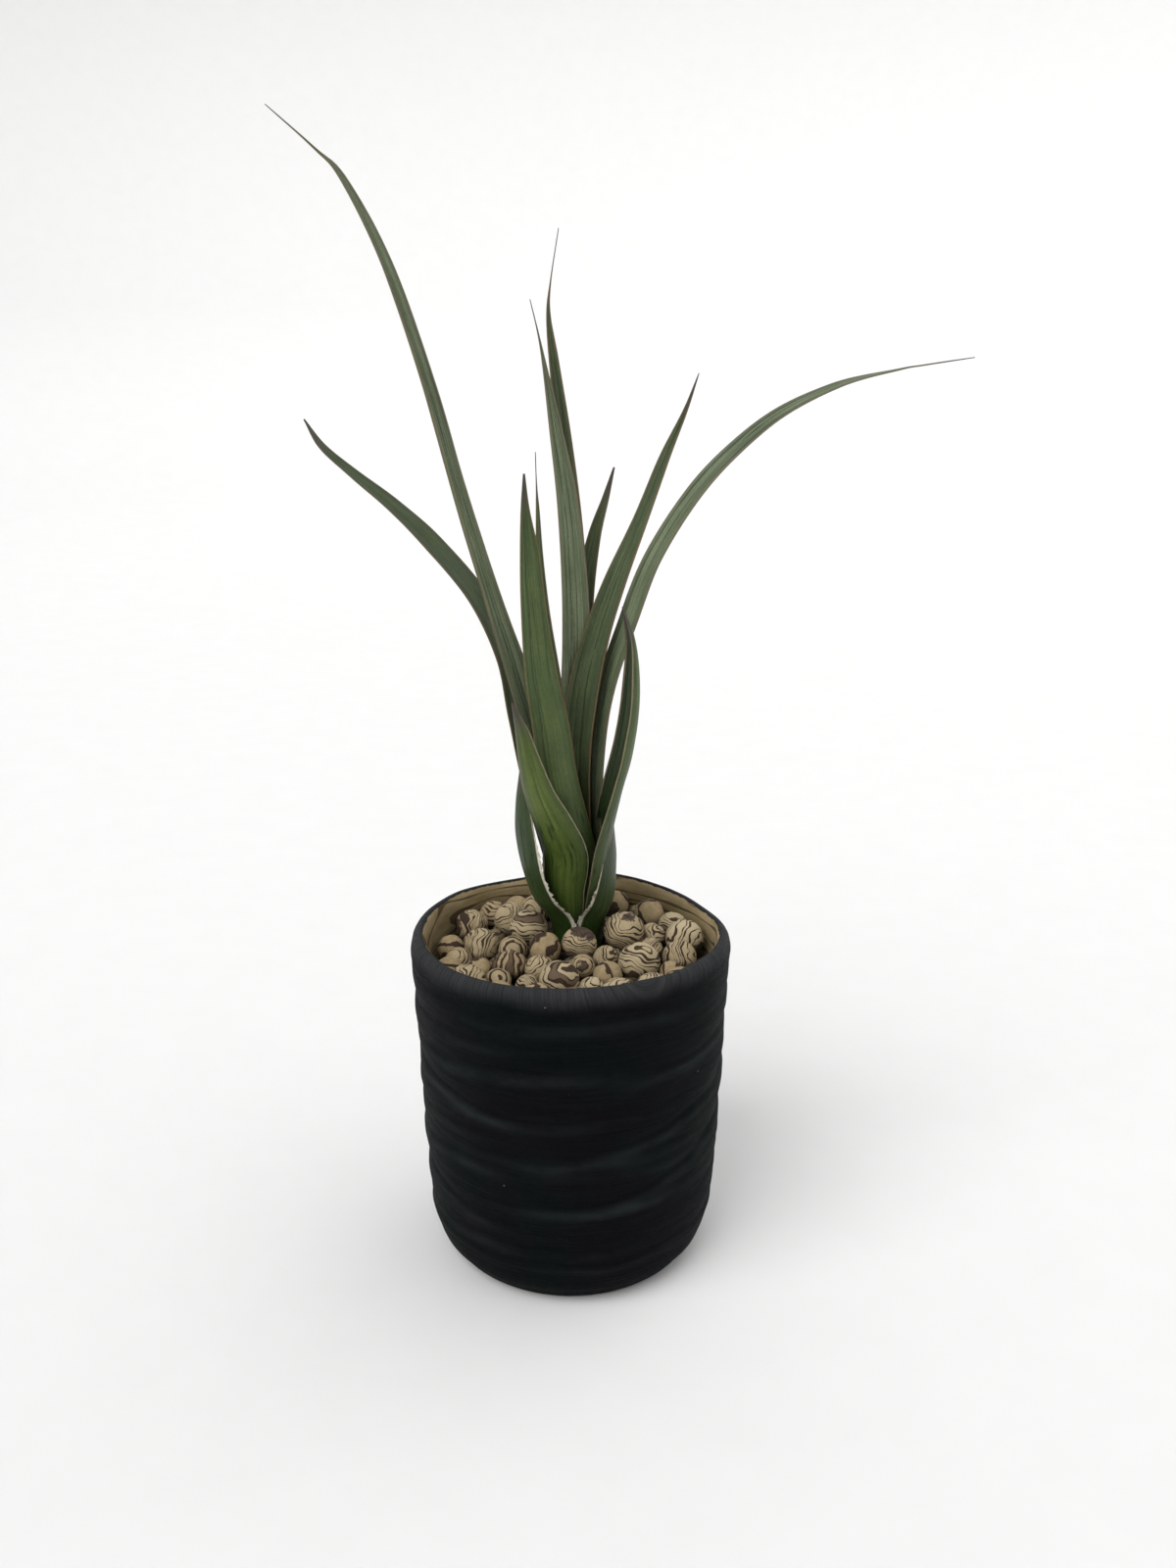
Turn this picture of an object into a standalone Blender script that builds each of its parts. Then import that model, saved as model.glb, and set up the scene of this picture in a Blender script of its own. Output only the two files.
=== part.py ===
"""Potted snake plant: thirteen leaves on a short crown in a hand-formed stoneware pot, the potting
mix covered with loose marbled clay balls. +Z is up and the floor is z = 0. The origin is the centre
of the pot's flat foot and -Y is the front. Lengths are in millimetres and become metres through MM."""

from math import asin, atan2, cos, degrees, exp, pi, radians, sin

import bmesh
import bpy
import numpy as np
from mathutils import Vector

MM = 0.001
GAP = 0.35  # air kept between two pieces that rest on each other

# Pot
POT_HEIGHT = 105.0
POT_WALL = 4.0
POT_FLOOR = 6.0
POT_FOOT_RADIUS = 36.0
POT_OUTSIDE = (  # (z, radius)
    (0, POT_FOOT_RADIUS), (1.5, 38.5), (6, 41.5), (15, 43.9), (40, 45.6), (70, 46.6), (94, 47.6), (101, 47.8),
)
POT_LIP = ((47.2, 103.6), (45.7, POT_HEIGHT), (44.2, 104.3))  # (radius, z), and so are the next two
POT_INSIDE = (
    (47.3 - POT_WALL, 101), (43.2, 90), (42.6, 60), (41.4, 30), (39.6, 14), (34.5, POT_FLOOR + 1.2),
    (30, POT_FLOOR),
)
WALL_FOOT, WALL_TOP = 1.5, 101.0
RIM_DIPS = ((25, 30, 2.6), (112, 24, 1.3), (270, 80, -2.0))  # (azimuth, spread in degrees, depth)
RIDGE_PITCH = 11.0
RIDGE_HEIGHT = 0.75
POT_SIDES = 48
POT_RINGS = 26

# Potting mix and crown
PLANT_AXIS = Vector((2.0, 14.0, 0.0))
MIX_CLEARANCE = 0.8
MIX_WALL = ((33.5, 8.2), (38.6, 14.5), (40.7, 30), (41.9, 60))  # the pot's inside as (radius, z)
MIX_TOP_RINGS = (41.5, 37.0, 31.0, 25.0, 19.0, 14.0, 10.5)
MIX_EDGE_TOP = 90.5
MIX_MOUND = 4.0
MIX_SIDES = 40
POCKET_RADIUS = 9.6
POCKET_FLOOR = 70.0
POCKET_CUT = 40.0
CROWN_RADIUS = 9.0
LEAF_FOOT = 90.0

# Leaves: tier 0 is the outermost ring of sheaths. Tiers fan out between the foot and the shoulder.
FOOT_RADIUS = 7.6
FOOT_STEP = 1.45
SHOULDER = 116.0
SHOULDER_RADIUS = 12.7
SHOULDER_STEP = 2.05
SHEATH_HEIGHTS = (LEAF_FOOT, 97.0, 103.0, 109.0, SHOULDER)
FOOT_THICKNESS = 0.8
BLADE_THICKNESS = 1.35
TIP_THICKNESS = 0.6
ACROSS = 5  # points across each face of a leaf
STATION_LENGTH = 10.0

# name: azimuth of the root, tier, angle its sheath wraps, azimuth that the blade's back faces, angle
# the blade is curled through, colour, and the path as (x, y, z, half width) from the shoulder to the tip
LEAVES = {
    "leaf_right_sheath": (-20, 0, 128, -24, 50, "old", (
        (12.8, 10, 110, 8.6), (13.9, 9.7, 121, 6.4), (14.1, 9.5, 128, 4.2), (14.4, 9.4, 133, 2.2),
        (14.8, 9.3, 138, 0.4))),
    "leaf_left_sheath": (198, 0, 124, 190, 100, "old", (
        (-11.4, 10.2, 110, 8.6), (-14.8, 9.6, 120, 7.9), (-16.7, 9.5, 131, 6.6), (-16.5, 10, 141, 4.3),
        (-15.5, 10.5, 149, 2.2), (-14.6, 11, 156, 0.4))),
    "leaf_small_front_left": (-122, 1, 78, -112, 90, "mid", (
        (-3.5, 1.2, 136, 6.0), (-7, -0.5, 147, 4.7), (-10.2, -2.5, 158, 3.1), (-13, -4.5, 168, 1.7),
        (-16, -6.5, 177, 0.4))),
    "leaf_small_right": (-22, 1, 110, -18, 120, "mid", (
        (12.1, 9.6, 128, 8.4), (15.2, 9.4, 145, 5.0), (18.3, 9.5, 157, 4.7), (20, 9, 170, 4.3),
        (20.2, 8.5, 182, 3.4), (18.8, 7.5, 193, 2.0), (15.3, 6, 202, 0.4))),
    "leaf_short_behind": (74, 1, 62, 80, 50, "mid", (
        (4.5, 26.5, 145, 5.4), (6, 28, 175, 4.8), (6.5, 29.5, 198, 3.8), (8.5, 31, 217, 2.4),
        (10.5, 32, 229, 1.1), (13, 33, 238, 0.4))),
    "leaf_front_centre": (-82, 2, 116, -86, 50, "mid", (
        (-2.5, 4.5, 148, 6.6), (-5, 4, 165, 5.9), (-8, 3, 183, 5.0), (-10, 2, 203, 3.8), (-11, 1.5, 218, 2.7),
        (-12, 1, 230, 1.3), (-12.2, 0.5, 240, 0.4))),
    "leaf_arching_left": (164, 2, 88, 140, 60, "old", (
        (-12.4, 18.5, 148, 4.6), (-14.9, 20.5, 166, 4.4), (-18.2, 22.5, 183, 4.6), (-25.4, 24, 200, 4.6),
        (-39.8, 26, 216, 4.2), (-52, 27, 227, 3.4), (-63, 28, 236, 2.5), (-72, 29, 244, 1.6),
        (-77, 30, 252, 0.4))),
    "leaf_far_right": (20, 2, 58, 38, 60, "old", (
        (9.5, 16.4, 128, 3.4), (10.2, 16.8, 152, 4.2), (13, 17.2, 174, 4.3), (18, 16.5, 194, 4.3),
        (26, 15.5, 215, 4.1), (40, 14.5, 236, 3.8), (57, 13.5, 252, 3.3), (75, 12.5, 262, 2.4),
        (93, 11.5, 267, 1.2), (111, 10.5, 270, 0.4))),
    "leaf_tall_behind": (86, 2, 48, 96, 45, "young", (
        (0.5, 24.5, 145, 5.2), (0, 25.5, 175, 4.6), (0, 26.5, 200, 4.2), (0, 27.5, 222, 3.3),
        (-1.5, 29, 245, 2.3), (-4.5, 31, 268, 1.5), (-6, 33, 284, 0.8), (-3, 35, 304, 0.35))),
    "leaf_centre_tall": (94, 3, 84, 92, 50, "young", (
        (0.6, 20.8, 145, 4.0), (1.6, 21.8, 176, 4.3), (1.5, 22.4, 202, 4.0), (-0.5, 23, 228, 3.2),
        (-4, 24, 250, 2.0), (-7, 25.5, 268, 0.9), (-11, 27.5, 285, 0.35))),
    "leaf_tall_left": (174, 3, 68, 124, 70, "young", (
        (-8.2, 16.8, 152, 4.4), (-13.4, 16.2, 177, 4.2), (-20.4, 15, 203, 3.3), (-29.3, 14, 233, 2.6),
        (-38, 12.5, 263, 2.2), (-47.5, 11, 294, 1.8), (-60, 9.5, 316, 1.1), (-78, 8, 333, 0.35))),
    "leaf_right_broad": (50, 4, 112, 62, 50, "mid", (
        (2.6, 16.6, 150, 5.0), (4.1, 17.4, 172, 5.2), (7.9, 18.8, 190, 5.0), (13, 20.4, 206, 4.4),
        (20, 22.5, 224, 3.5), (27.5, 25, 241, 2.4), (33.5, 26.5, 254.5, 1.3), (37, 28, 265, 0.4))),
    "leaf_thin_spike": (-100, 4, 100, -84, 60, "young", (
        (-1.5, 11, 148, 3.9), (-4, 10.4, 178, 3.3), (-6.2, 9.8, 198, 2.4), (-7.8, 9.4, 215, 1.6),
        (-9, 9, 230, 0.9), (-9.3, 8.6, 245, 0.35))),
}

# Clay balls: where each one is dropped and its radius, as (x, y, radius)
VISIBLE_BALLS = (
    (-34, 22, 5.1), (-26, 28, 4.7), (-20, 37, 4.2), (-19, 20, 5.3), (-9, 14, 5.8), (-26, 4, 5.4),
    (-16, 4, 4.5), (-8, -2, 5.0), (-37, 6, 4.2), (-34, -4, 4.1), (-29, -11, 4.1), (-22, -15, 4.0),
    (-18, -9, 4.7), (-9, -11, 4.4), (-12, -19, 3.5), (-3, -19, 5.7), (6, -20, 3.5), (4, -9, 3.8),
    (2, -1, 5.2), (10, -5, 3.8), (11, -15, 4.3), (20, -10, 6.1), (16, 8, 5.9), (26, 11, 4.0),
    (16, 38, 5.0), (22, 36, 2.7), (29, 31, 5.0), (34, 23, 4.6), (36, 11, 5.7), (33, -2, 5.0),
    (30, -11, 3.6), (24, 3, 3.8),
)
HIDDEN_BALLS = (
    (-8, 38, 5.0), (5, 38, 5.4), (-10, 28, 4.8), (-30, -22, 5.4), (-20, -30, 5.2), (-9, -33, 5.5),
    (3, -34, 5.2), (14, -31, 5.6), (24, -25, 5.2), (34, -20, 4.6), (-39, -12, 4.4), (-4, 27, 4.6),
)
BALL_SPACING = 0.4
BALL_ON_MIX = 0.6
BALL_OFF_LEAVES = 0.8
BALL_REACH = 42.2
DROP_STEPS, SETTLE_STEPS = 500, 900

COLOURS = {
    "stoneware": (0.018, 0.021, 0.026, 0.62),
    "soil": (0.055, 0.038, 0.026, 0.95),
    "crown": (0.30, 0.25, 0.14, 0.8),
    "old": (0.085, 0.150, 0.060, 0.45),
    "mid": (0.115, 0.190, 0.090, 0.45),
    "young": (0.190, 0.260, 0.170, 0.5),
    "clay": (0.46, 0.34, 0.22, 0.85),
}


def clear_scene():
    for obj in list(bpy.data.objects):
        bpy.data.objects.remove(obj)


def material(name):
    mat = bpy.data.materials.get(name) or bpy.data.materials.new(name)
    mat.use_nodes = True
    shader = mat.node_tree.nodes["Principled BSDF"]
    red, green, blue, roughness = COLOURS[name]
    shader.inputs["Base Color"].default_value = (red, green, blue, 1)
    shader.inputs["Roughness"].default_value = roughness
    shader.inputs["Metallic"].default_value = 0.0
    return mat


def finish(name, bm, colour):
    """Turns a closed bmesh, drawn in millimetres, into a smooth-shaded object."""
    bmesh.ops.scale(bm, vec=(MM, MM, MM), verts=bm.verts)
    bmesh.ops.recalc_face_normals(bm, faces=bm.faces)
    mesh = bpy.data.meshes.new(name)
    bm.to_mesh(mesh)
    bm.free()
    mesh.shade_smooth()
    mesh.materials.append(material(colour))
    obj = bpy.data.objects.new(name, mesh)
    bpy.context.scene.collection.objects.link(obj)
    return obj


def smoothstep(x, low, high):
    t = min(max((x - low) / (high - low), 0.0), 1.0)
    return t * t * (3 - 2 * t)


def read_off(points, x):
    """Linear reading of y at x from (x, y) points."""
    return float(np.interp(x, [p[0] for p in points], [p[1] for p in points]))


def turned(profile, sides):
    """Closed solid of revolution from (radius, z) points that start and end on the axis."""
    bm = bmesh.new()
    verts = [bm.verts.new((radius, 0, z)) for radius, z in profile]
    edges = [bm.edges.new(pair) for pair in zip(verts, verts[1:])]
    bmesh.ops.spin(bm, geom=verts + edges, axis=(0, 0, 1), cent=(0, 0, 0), steps=sides, angle=2 * pi,
                   use_merge=True)
    bmesh.ops.remove_doubles(bm, verts=bm.verts, dist=0.01)
    return bm


# Pot

def ridge(angle, z):
    """How far the hand-pressed ridges stand out from the wall: they wander and twist round the pot."""
    drift = 0.35 * sin(angle + 0.8) + 0.16 * sin(3 * angle + 2.1) + 0.07 * sin(7 * angle)
    swell = 1 + 0.35 * sin(2 * angle + 0.5 + 0.05 * z)
    fade = smoothstep(z, 3, 12) * (1 - smoothstep(z, 90, 99))
    return RIDGE_HEIGHT * swell * fade * sin(2 * pi * (z / RIDGE_PITCH + drift))


def out_of_round(angle, z):
    """The rim was squeezed a little by hand; the foot is round."""
    return smoothstep(z, 30, POT_HEIGHT) * (0.35 * sin(2 * angle + 0.6) + 0.3 * sin(3 * angle + 1.9))


def rim_dip(azimuth):
    """How far the rim sinks where it was pressed down."""
    dip = 0.0
    for centre, spread, depth in RIM_DIPS:
        away = (azimuth - centre + 180) % 360 - 180
        dip += depth * exp(-((away / spread) ** 2))
    return dip


def make_pot():
    heights = np.linspace(WALL_FOOT, WALL_TOP, POT_RINGS).tolist()
    outside = tuple((read_off(POT_OUTSIDE, z), z) for z in heights)
    under = ((0, 0), (POT_FOOT_RADIUS, 0))
    bm = turned(under + outside + POT_LIP + POT_INSIDE + ((0, POT_FLOOR),), POT_SIDES)
    for vert in bm.verts:
        radius = vert.co.xy.length
        if radius < POT_INSIDE[-1][0] or vert.co.z < WALL_FOOT / 2:
            continue
        angle = atan2(vert.co.y, vert.co.x)
        is_outside = radius > read_off(POT_OUTSIDE, vert.co.z) - POT_WALL / 8
        shift = out_of_round(angle, vert.co.z) + (ridge(angle, vert.co.z) if is_outside else 0)
        vert.co.xy *= (radius + shift) / radius
        vert.co.z -= rim_dip(degrees(angle)) * smoothstep(vert.co.z, WALL_TOP - 9, WALL_TOP + 3)
    finish("pot", bm, "stoneware")


# Potting mix and crown

def mix_top(x, y):
    """Height of the mix: a low mound round the plant with small lumps."""
    reach = (Vector((x, y)) - PLANT_AXIS.xy).length
    lumps = 0.35 * sin(0.5 * x + 1) * sin(0.45 * y + 2)
    return MIX_EDGE_TOP + MIX_MOUND * (1 - smoothstep(reach, 8, 34)) + lumps


def make_potting_mix():
    """The mix fills the pot up to the dressing and has an open pocket that holds the crown."""
    bottom = ((0, POT_FLOOR + 1.7), (28, POT_FLOOR + 1.9))
    wall = tuple((radius - MIX_CLEARANCE, z) for radius, z in MIX_WALL)
    top = tuple((radius, MIX_EDGE_TOP) for radius in MIX_TOP_RINGS + (0,))
    bm = turned(bottom + wall + top, MIX_SIDES)
    for vert in bm.verts:
        if vert.co.z > MIX_EDGE_TOP - 1:
            vert.co.z = mix_top(vert.co.x, vert.co.y)
    mix = finish("potting_mix", bm, "soil")
    hole = turned(((0, 0), (POCKET_RADIUS, 0), (POCKET_RADIUS, POCKET_CUT), (0, POCKET_CUT)), 32)
    bmesh.ops.translate(hole, verts=hole.verts, vec=PLANT_AXIS + Vector((0, 0, POCKET_FLOOR)))
    cutter = finish("crown_pocket_cutter", hole, "soil")
    cutter.hide_render = True
    cutter.display_type = "WIRE"
    pocket = mix.modifiers.new("crown_pocket", "BOOLEAN")
    pocket.operation = "DIFFERENCE"
    pocket.object = cutter


def make_crown():
    """Stubby rhizome: a rounded plug whose flat top carries the leaves."""
    top = LEAF_FOOT - GAP
    low = POCKET_FLOOR + GAP
    root_end = ((0, low), (5.0, low + 0.6), (7.8, low + 3.5), (CROWN_RADIUS, low + 9))
    bm = turned(root_end + ((CROWN_RADIUS, top - 1), (CROWN_RADIUS - 0.6, top), (0, top)), 24)
    bmesh.ops.translate(bm, verts=bm.verts, vec=PLANT_AXIS)
    finish("crown", bm, "crown")


# Leaves

def tier_radius(tier, z):
    rise = smoothstep(z, LEAF_FOOT + 6, SHOULDER)
    foot = FOOT_RADIUS - FOOT_STEP * tier
    shoulder = SHOULDER_RADIUS - SHOULDER_STEP * tier
    return foot + (shoulder - foot) * rise


def leaf_rows(azimuth, tier, wrap, curl, path):
    """The sheath's own rows, which sit on their tier, then the blade's. Each is x, y, z, half width, curl."""
    rows = []
    for z in SHEATH_HEIGHTS:
        if z > path[0][2] - 4:
            break
        radius = tier_radius(tier, z)
        place = PLANT_AXIS + radius * Vector((cos(radians(azimuth)), sin(radians(azimuth)), 0))
        rows.append((place.x, place.y, z, radius * sin(radians(wrap) / 2), wrap))
    top = path[-1][2]
    for x, y, z, half_width in path:
        open_up = smoothstep(z, SHOULDER - 4, SHOULDER + 0.45 * (top - SHOULDER))
        on_tier = 2 * degrees(asin(min(0.95, half_width / tier_radius(tier, z))))
        rows.append((x, y, z, half_width, on_tier + (curl - on_tier) * open_up))
    return np.array(rows, float)


def smooth_rows(rows):
    """Catmull-Rom curve through the rows, read off at even steps of length."""
    rows = np.vstack([2 * rows[0] - rows[1], rows, 2 * rows[-1] - rows[-2]])
    fine = []
    for a, b, c, d in zip(rows, rows[1:], rows[2:], rows[3:]):
        square = 2 * a - 5 * b + 4 * c - d
        cube = 3 * b - a - 3 * c + d
        for t in np.linspace(0, 1, 12, endpoint=False):
            fine.append(0.5 * (2 * b + (c - a) * t + square * t**2 + cube * t**3))
    fine.append(rows[-2])
    fine = np.array(fine)
    length = np.concatenate([[0], np.cumsum(np.linalg.norm(np.diff(fine[:, :3], axis=0), axis=1))])
    stations = max(8, round(length[-1] / STATION_LENGTH))
    at = np.linspace(0, length[-1], stations + 1)
    columns = [np.interp(at, length, fine[:, i]) for i in range(fine.shape[1])]
    return np.column_stack(columns).tolist(), (at / at[-1]).tolist()


def leaf_section(half_width, curl, thickness):
    """Outline of one cross-section as (across, inward) pairs: the outer face, then the inner face back."""
    half_angle = radians(curl) / 2
    radius = half_width / sin(half_angle)
    turns = [half_angle * (2 * i / (ACROSS - 1) - 1) for i in range(ACROSS)]
    outer = [(radius * sin(a), radius * (1 - cos(a))) for a in turns]
    inner = []
    for a in reversed(turns):
        depth = min(thickness, 0.8 * radius) * (1 - 0.6 * (a / half_angle) ** 2)
        inner.append(((radius - depth) * sin(a), radius - (radius - depth) * cos(a)))
    return outer + inner


def make_leaf(name, azimuth, tier, wrap, faces_from, curl, colour, path):
    """A leaf is one closed skin of cross-sections, from its sheath round the axis to its fine tip."""
    rows, along = smooth_rows(leaf_rows(azimuth, tier, wrap, curl, path))
    centres = [Vector(row[:3]) for row in rows]
    bm = bmesh.new()
    rings = []
    for i, row in enumerate(rows):
        ahead = centres[min(i + 1, len(rows) - 1)]
        behind = centres[max(i - 1, 0)]
        tangent = Vector((0, 0, 1)) if i == 0 else (ahead - behind).normalized()
        turn = radians(azimuth + (faces_from - azimuth) * smoothstep(row[2], SHOULDER - 15, SHOULDER + 40))
        side = Vector((-sin(turn), cos(turn), 0))
        side = (side - side.dot(tangent) * tangent).normalized()
        inward = tangent.cross(side)
        gain = (BLADE_THICKNESS - FOOT_THICKNESS) * smoothstep(row[2], LEAF_FOOT, SHOULDER)
        thickness = FOOT_THICKNESS + gain
        thickness += (TIP_THICKNESS - thickness) * smoothstep(along[i], 0.6, 1.0)
        outline = leaf_section(row[3], row[4], thickness)
        rings.append([bm.verts.new(centres[i] + across * side + depth * inward) for across, depth in outline])
    for low, high in zip(rings, rings[1:]):
        for j in range(len(low)):
            k = (j + 1) % len(low)
            bm.faces.new((low[j], low[k], high[k], high[j]))
    for ring in (rings[0], rings[-1]):
        for j in range(ACROSS - 1):
            bm.faces.new((ring[j], ring[j + 1], ring[-2 - j], ring[-1 - j]))
    finish(name, bm, colour)


# Clay balls

def settle(balls):
    """Drops the balls on the mix and pushes them apart until none of them touch, in a set number of steps."""
    place = np.array([(x, y, mix_top(x, y) + radius + 1) for x, y, radius in balls])
    radii = np.array([radius for _, _, radius in balls])
    axis = np.array(PLANT_AXIS)
    for step in range(SETTLE_STEPS):
        if step < DROP_STEPS:
            place[:, 2] -= 0.02
        apart = place[:, None] - place[None]
        distance = np.linalg.norm(apart, axis=2) + np.eye(len(balls))
        wanted = radii[:, None] + radii[None] + BALL_SPACING
        short = np.clip(wanted - distance, 0, None) * (1 - np.eye(len(balls)))
        place += 0.35 * (apart / distance[..., None] * short[..., None]).sum(axis=1)
        lowest = [mix_top(x, y) + r + BALL_ON_MIX for (x, y, _), r in zip(place, radii)]
        place[:, 2] = np.maximum(place[:, 2], lowest)
        reach = np.linalg.norm(place[:, :2], axis=1)
        place[:, :2] *= np.minimum(1, (BALL_REACH - radii) / reach)[:, None]
        from_plant = place[:, :2] - axis[:2]
        reach = np.linalg.norm(from_plant, axis=1)
        bundle = np.array([tier_radius(0, z + 0.5 * r) for z, r in zip(place[:, 2], radii)])
        least = bundle + radii + BALL_OFF_LEAVES
        place[:, :2] = axis[:2] + from_plant * np.maximum(1, least / reach)[:, None]
    return place, radii


def make_clay_balls():
    places, radii = settle(VISIBLE_BALLS + HIDDEN_BALLS)
    for number, (place, radius) in enumerate(zip(places, radii), start=1):
        bm = bmesh.new()
        bmesh.ops.create_icosphere(bm, subdivisions=2, radius=radius)
        bmesh.ops.translate(bm, verts=bm.verts, vec=place)
        finish(f"clay_ball_{number:02d}", bm, "clay")


def main():
    clear_scene()
    make_pot()
    make_potting_mix()
    make_crown()
    for name, (azimuth, tier, wrap, faces_from, curl, colour, path) in LEAVES.items():
        make_leaf(name, azimuth, tier, wrap, faces_from, curl, colour, path)
    make_clay_balls()


main()
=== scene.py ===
"""Potted snake plant, finished for display: thirteen striped leaves, loose marbled clay balls and a
hand-formed black stoneware pot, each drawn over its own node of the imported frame. Lengths here are in
millimetres and become metres through MM. +Z is up and -Y is the front."""

from math import asin, atan2, cos, degrees, exp, pi, radians, sin
from random import Random

import bmesh
import bpy
import numpy as np
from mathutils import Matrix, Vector
from mathutils import noise as lumps


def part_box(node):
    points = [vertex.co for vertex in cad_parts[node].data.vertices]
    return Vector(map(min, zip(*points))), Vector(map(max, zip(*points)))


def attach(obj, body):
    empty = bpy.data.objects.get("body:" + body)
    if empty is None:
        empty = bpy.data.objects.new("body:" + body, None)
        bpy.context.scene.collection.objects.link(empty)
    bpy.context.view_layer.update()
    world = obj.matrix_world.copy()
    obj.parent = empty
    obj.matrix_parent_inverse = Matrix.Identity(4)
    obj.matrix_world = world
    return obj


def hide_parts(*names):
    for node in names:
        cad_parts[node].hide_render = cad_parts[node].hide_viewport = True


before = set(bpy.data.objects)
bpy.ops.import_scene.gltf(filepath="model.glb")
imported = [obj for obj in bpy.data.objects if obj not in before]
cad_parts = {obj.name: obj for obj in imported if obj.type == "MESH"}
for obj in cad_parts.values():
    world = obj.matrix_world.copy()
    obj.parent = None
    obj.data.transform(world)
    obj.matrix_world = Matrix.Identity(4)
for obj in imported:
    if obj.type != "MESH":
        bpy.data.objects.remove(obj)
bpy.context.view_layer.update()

MM = 0.001

# Pot: (z, radius) up the outside, (radius, z) over the lip and down the inside
POT_TOP = 105.0
OUTSIDE = ((0, 36.0), (1.5, 38.5), (6, 41.5), (15, 43.9), (40, 45.6), (70, 46.6), (94, 47.6), (101, 47.8))
LIP = (
    (47.7, 102.4), (47.2, 103.7), (46.5, 104.6), (45.6, POT_TOP), (44.8, 104.8), (44.2, 104.1),
    (43.7, 102.9),
)
INSIDE = ((43.4, 101), (43.2, 90), (42.6, 60), (41.4, 30), (39.6, 14), (37.6, 9.4), (34.5, 7.2), (30, 6))
RIM_DIPS = ((25, 30, 2.6), (112, 24, 1.3), (270, 80, -2.0))
# creases pressed into the wall: (height, azimuth of the middle, spread in degrees, rise over the
# spread, depth)
CREASES = (
    (97.5, 285, 95, 0.5, 0.50), (95.0, 340, 40, -1.0, 0.45), (87.5, 208, 42, 2.0, 0.75),
    (89.5, 20, 60, 1.0, 0.5), (79.0, 226, 46, 4.0, 0.85), (80.0, 290, 50, -1.5, 0.45),
    (79.0, 335, 40, 1.5, 0.75), (76.0, 90, 85, 3.0, 0.8), (68.0, 214, 34, -3.0, 1.05),
    (66.0, 265, 50, 1.0, 0.40), (60.0, 322, 42, 5.0, 0.85), (63.0, 30, 55, -3.0, 0.8),
    (61.0, 140, 50, 2.0, 0.9), (56.0, 206, 34, 3.0, 0.75), (53.0, 276, 60, 0.0, 0.60),
    (46.0, 216, 36, 2.5, 0.85), (48.5, 305, 40, -1.0, 0.50), (44.5, 326, 38, 6.0, 0.80),
    (48.0, 90, 80, -2.0, 0.8), (37.0, 292, 62, 0.5, 0.75), (31.0, 208, 42, -2.5, 0.85),
    (33.0, 30, 60, 3.0, 0.7), (34.0, 130, 55, -2.0, 0.8), (22.0, 245, 55, 0.5, 0.60),
    (17.0, 300, 60, 1.5, 0.45), (20.0, 80, 80, 2.0, 0.6), (17.0, 175, 50, 0.0, 0.5),
)
POT_SIDES = 300  # columns round the wall
WALL_STEP, LIP_STEP, INSIDE_STEP = 0.85, 0.6, 1.8
FLOOR_RADIUS = 30.0  # within this the pot's floor and foot stay plain
BARE_FROM = 6.5  # height above which the inside is bare clay

# Leaves
PLANT_AXIS = Vector((2.0, 14.0, 0.0))
LEAF_FOOT = 90.0
FOOT_RADIUS, FOOT_STEP = 7.6, 1.45
SHOULDER, SHOULDER_RADIUS, SHOULDER_STEP = 116.0, 12.7, 2.05
SHEATH_HEIGHTS = (LEAF_FOOT, 97.0, 103.0, 109.0, SHOULDER)
FOOT_THICKNESS, BLADE_THICKNESS, TIP_THICKNESS = 0.8, 1.35, 0.35
STATION = 1.5
ROUND_SECTION = 36  # columns once round a leaf's section
AT_MARGIN = 0.9999

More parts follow.
